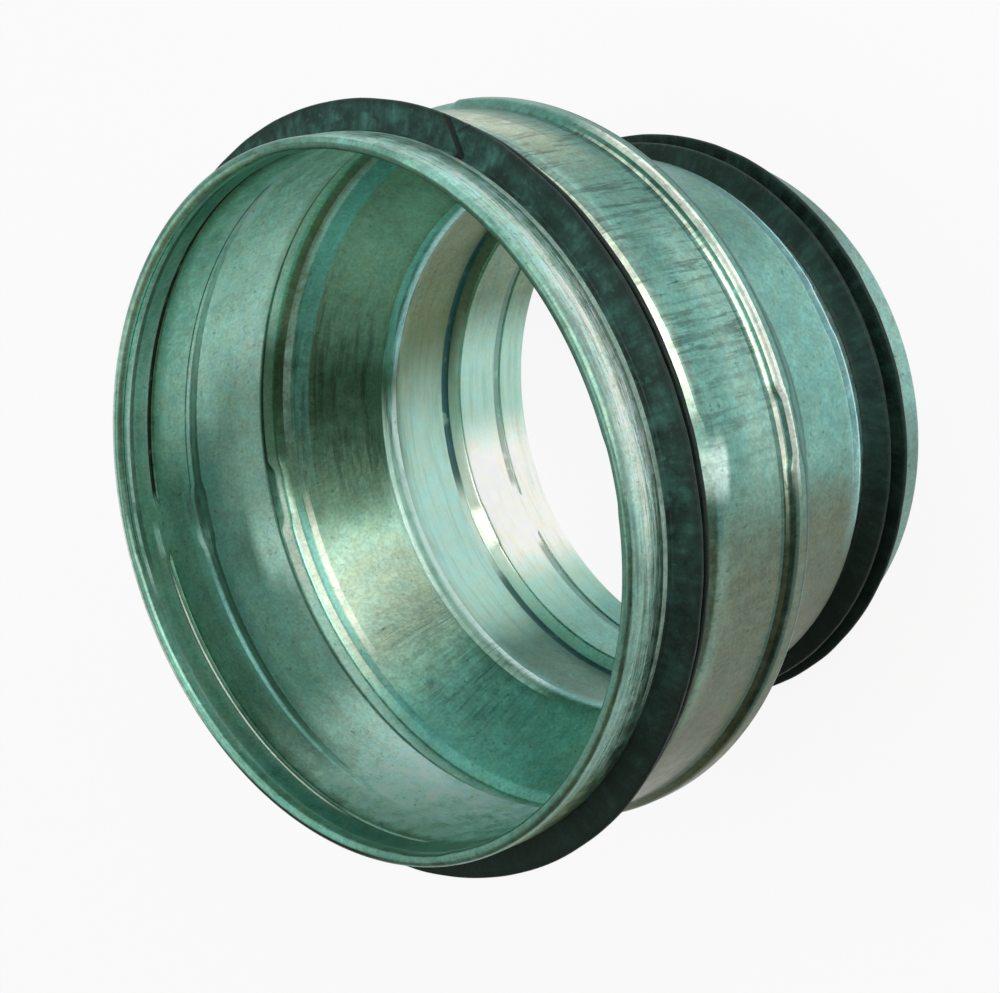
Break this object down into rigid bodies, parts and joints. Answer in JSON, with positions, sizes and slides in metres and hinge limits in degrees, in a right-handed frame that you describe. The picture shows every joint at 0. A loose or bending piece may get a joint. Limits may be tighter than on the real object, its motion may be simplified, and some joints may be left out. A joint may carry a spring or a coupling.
{
  "type": "duct reducer",
  "caption": "Round pressed sheet-metal duct reducer with a straight spigot, folded end and rubber lip seal at each end, joined by a beaded cone.",
  "frame": {"origin": "centre of the small spigot's end, which the part stands on", "axes": "+Z along the duct's axis, from the small end up to the large mouth"},
  "size_m": [0.1342, 0.1342, 0.0945],
  "materials": {
    "galvanised_steel": "hot-dip galvanised, dull sheen with fine spangle",
    "seal_rubber": "matte moulded"
  },
  "bodies": {
    "root": {"reducer_shell": "galvanised_steel", "large_lip_seal": "seal_rubber", "small_lip_seal": "seal_rubber"}
  },
  "joints": []
}
